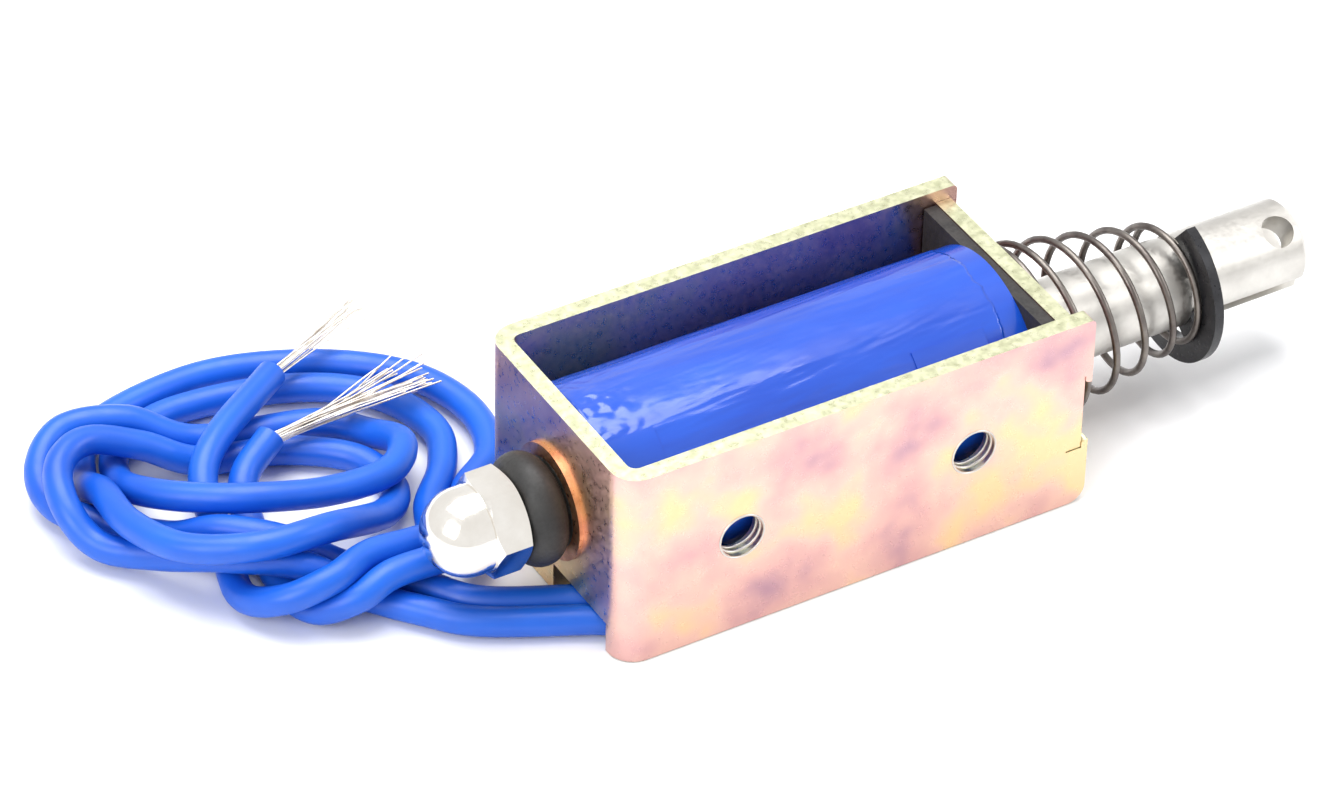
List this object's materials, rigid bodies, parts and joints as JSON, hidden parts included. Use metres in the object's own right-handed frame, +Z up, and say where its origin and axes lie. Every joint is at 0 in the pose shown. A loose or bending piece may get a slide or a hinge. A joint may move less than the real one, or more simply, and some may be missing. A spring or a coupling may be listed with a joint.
{
  "type": "push pull solenoid",
  "caption": "Open-frame push pull solenoid with a taped coil, a slotted plunger held by an E-clip and a conical return spring, a push rod with a cap nut, and two coiled lead wires.",
  "frame": {"origin": "under the middle of the length from cap nut to plunger tip, on the middle plane between the side plates, at the frame's lower edges (leads left out)", "axes": "+X along the plunger, towards its slotted end; +Y from the tapped side plate to the plain one; +Z up, from the frame's lower edges"},
  "size_m": [0.1074, 0.0517, 0.0193],
  "materials": {
    "zinc_steel": "satin",
    "black_board": "matte",
    "tube_brass": "satin",
    "plated_steel": "satin",
    "bobbin_plastic": "matte",
    "enamelled_copper": "satin",
    "blue_tape": "gloss",
    "spring_steel": "satin",
    "blue_insulation": "satin",
    "tinned_copper": "satin",
    "bright_nickel": "polished",
    "black_rubber": "matte",
    "black_steel": "satin"
  },
  "bodies": {
    "frame": {"yoke": "zinc_steel", "end_plate": "zinc_steel", "insulator_plate": "black_board", "guide_tube": "tube_brass", "fixed_core": "plated_steel", "core_shim": "tube_brass", "bobbin": "bobbin_plastic", "winding": "enamelled_copper", "winding_tails": "enamelled_copper", "tape_wrap": "blue_tape", "tape_patches": "blue_tape", "splice_sleeve_a": "bobbin_plastic", "splice_sleeve_b": "bobbin_plastic", "return_spring": "spring_steel", "lead_wire_a": "blue_insulation", "lead_wire_b": "blue_insulation", "strands_a": "tinned_copper", "strands_b": "tinned_copper"},
    "carriage": {"e_clip": "black_steel"},
    "armature": {"plunger": "plated_steel", "push_rod": "plated_steel", "acorn_nut": "bright_nickel", "bumper": "black_rubber"}
  },
  "joints": [
    {"name": "plunger_slide", "type": "slide", "parent": "frame", "child": "carriage", "axis": [1, 0, 0], "range_m": [-0.01, 0], "stiffness_N_per_m": 300, "springref_m": 0.005, "deforming": ["return_spring"]},
    {"name": "plunger_turn", "type": "hinge", "parent": "carriage", "child": "armature", "pos_m": [0, 0, 0.00965], "axis": [1, 0, 0], "continuous": true}
  ]
}
